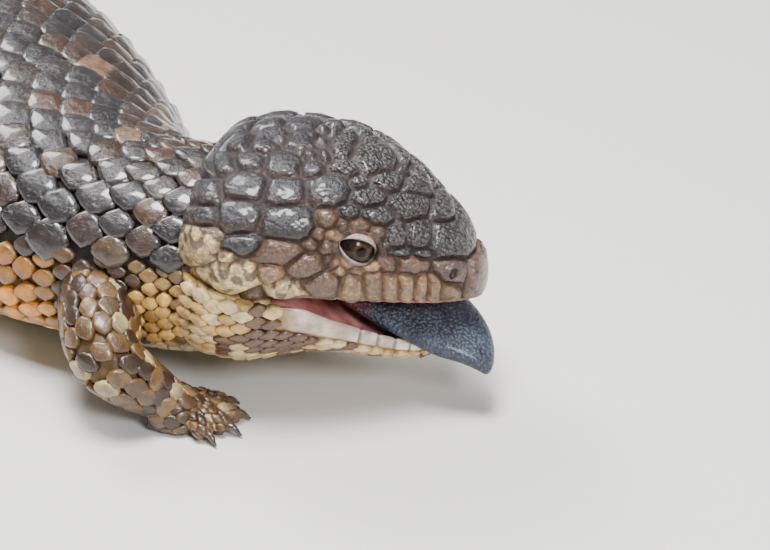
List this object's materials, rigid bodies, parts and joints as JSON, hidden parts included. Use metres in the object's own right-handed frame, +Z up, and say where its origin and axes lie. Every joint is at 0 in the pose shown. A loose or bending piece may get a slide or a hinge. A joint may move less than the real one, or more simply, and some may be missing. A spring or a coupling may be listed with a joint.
{
  "type": "blue tongued skink",
  "caption": "Stump-tailed blue tongued skink at rest on its belly, head turned, mouth open and broad blue tongue out, in large overlapping scales.",
  "frame": {"origin": "on the floor, under the middle of the animal's bounding box", "axes": "+X the way the snout points, +Y to the animal's left, +Z up"},
  "size_m": [0.2988, 0.215, 0.0572],
  "materials": {
    "head_shields": "rough horny shields with a dull gloss, dark grey-brown with tan seams",
    "jaw": "cream and tan beaded scales, white inner lip",
    "scales": "thick glossy dark scales over orange-tan flanks",
    "limbs": "small glossy scales, brown mottled with cream",
    "feet": "small brown scales, dark horn claws",
    "eye": "wet clear cornea over a brown iris",
    "tongue": "matt blue-grey, finely beaded, moist"
  },
  "bodies": {
    "root": {"eye_left": "eye", "eye_right": "eye", "front_left_foot": "feet", "front_left_lower": "limbs", "front_left_upper": "limbs", "front_right_foot": "feet", "front_right_lower": "limbs", "front_right_upper": "limbs", "head": "head_shields", "hind_left_foot": "feet", "hind_left_lower": "limbs", "hind_left_upper": "limbs", "hind_right_foot": "feet", "hind_right_lower": "limbs", "hind_right_upper": "limbs", "hips": "scales", "lower_jaw": "jaw", "neck": "scales", "tail": "scales", "tongue": "tongue", "trunk_front": "scales", "trunk_rear": "scales"}
  },
  "joints": []
}
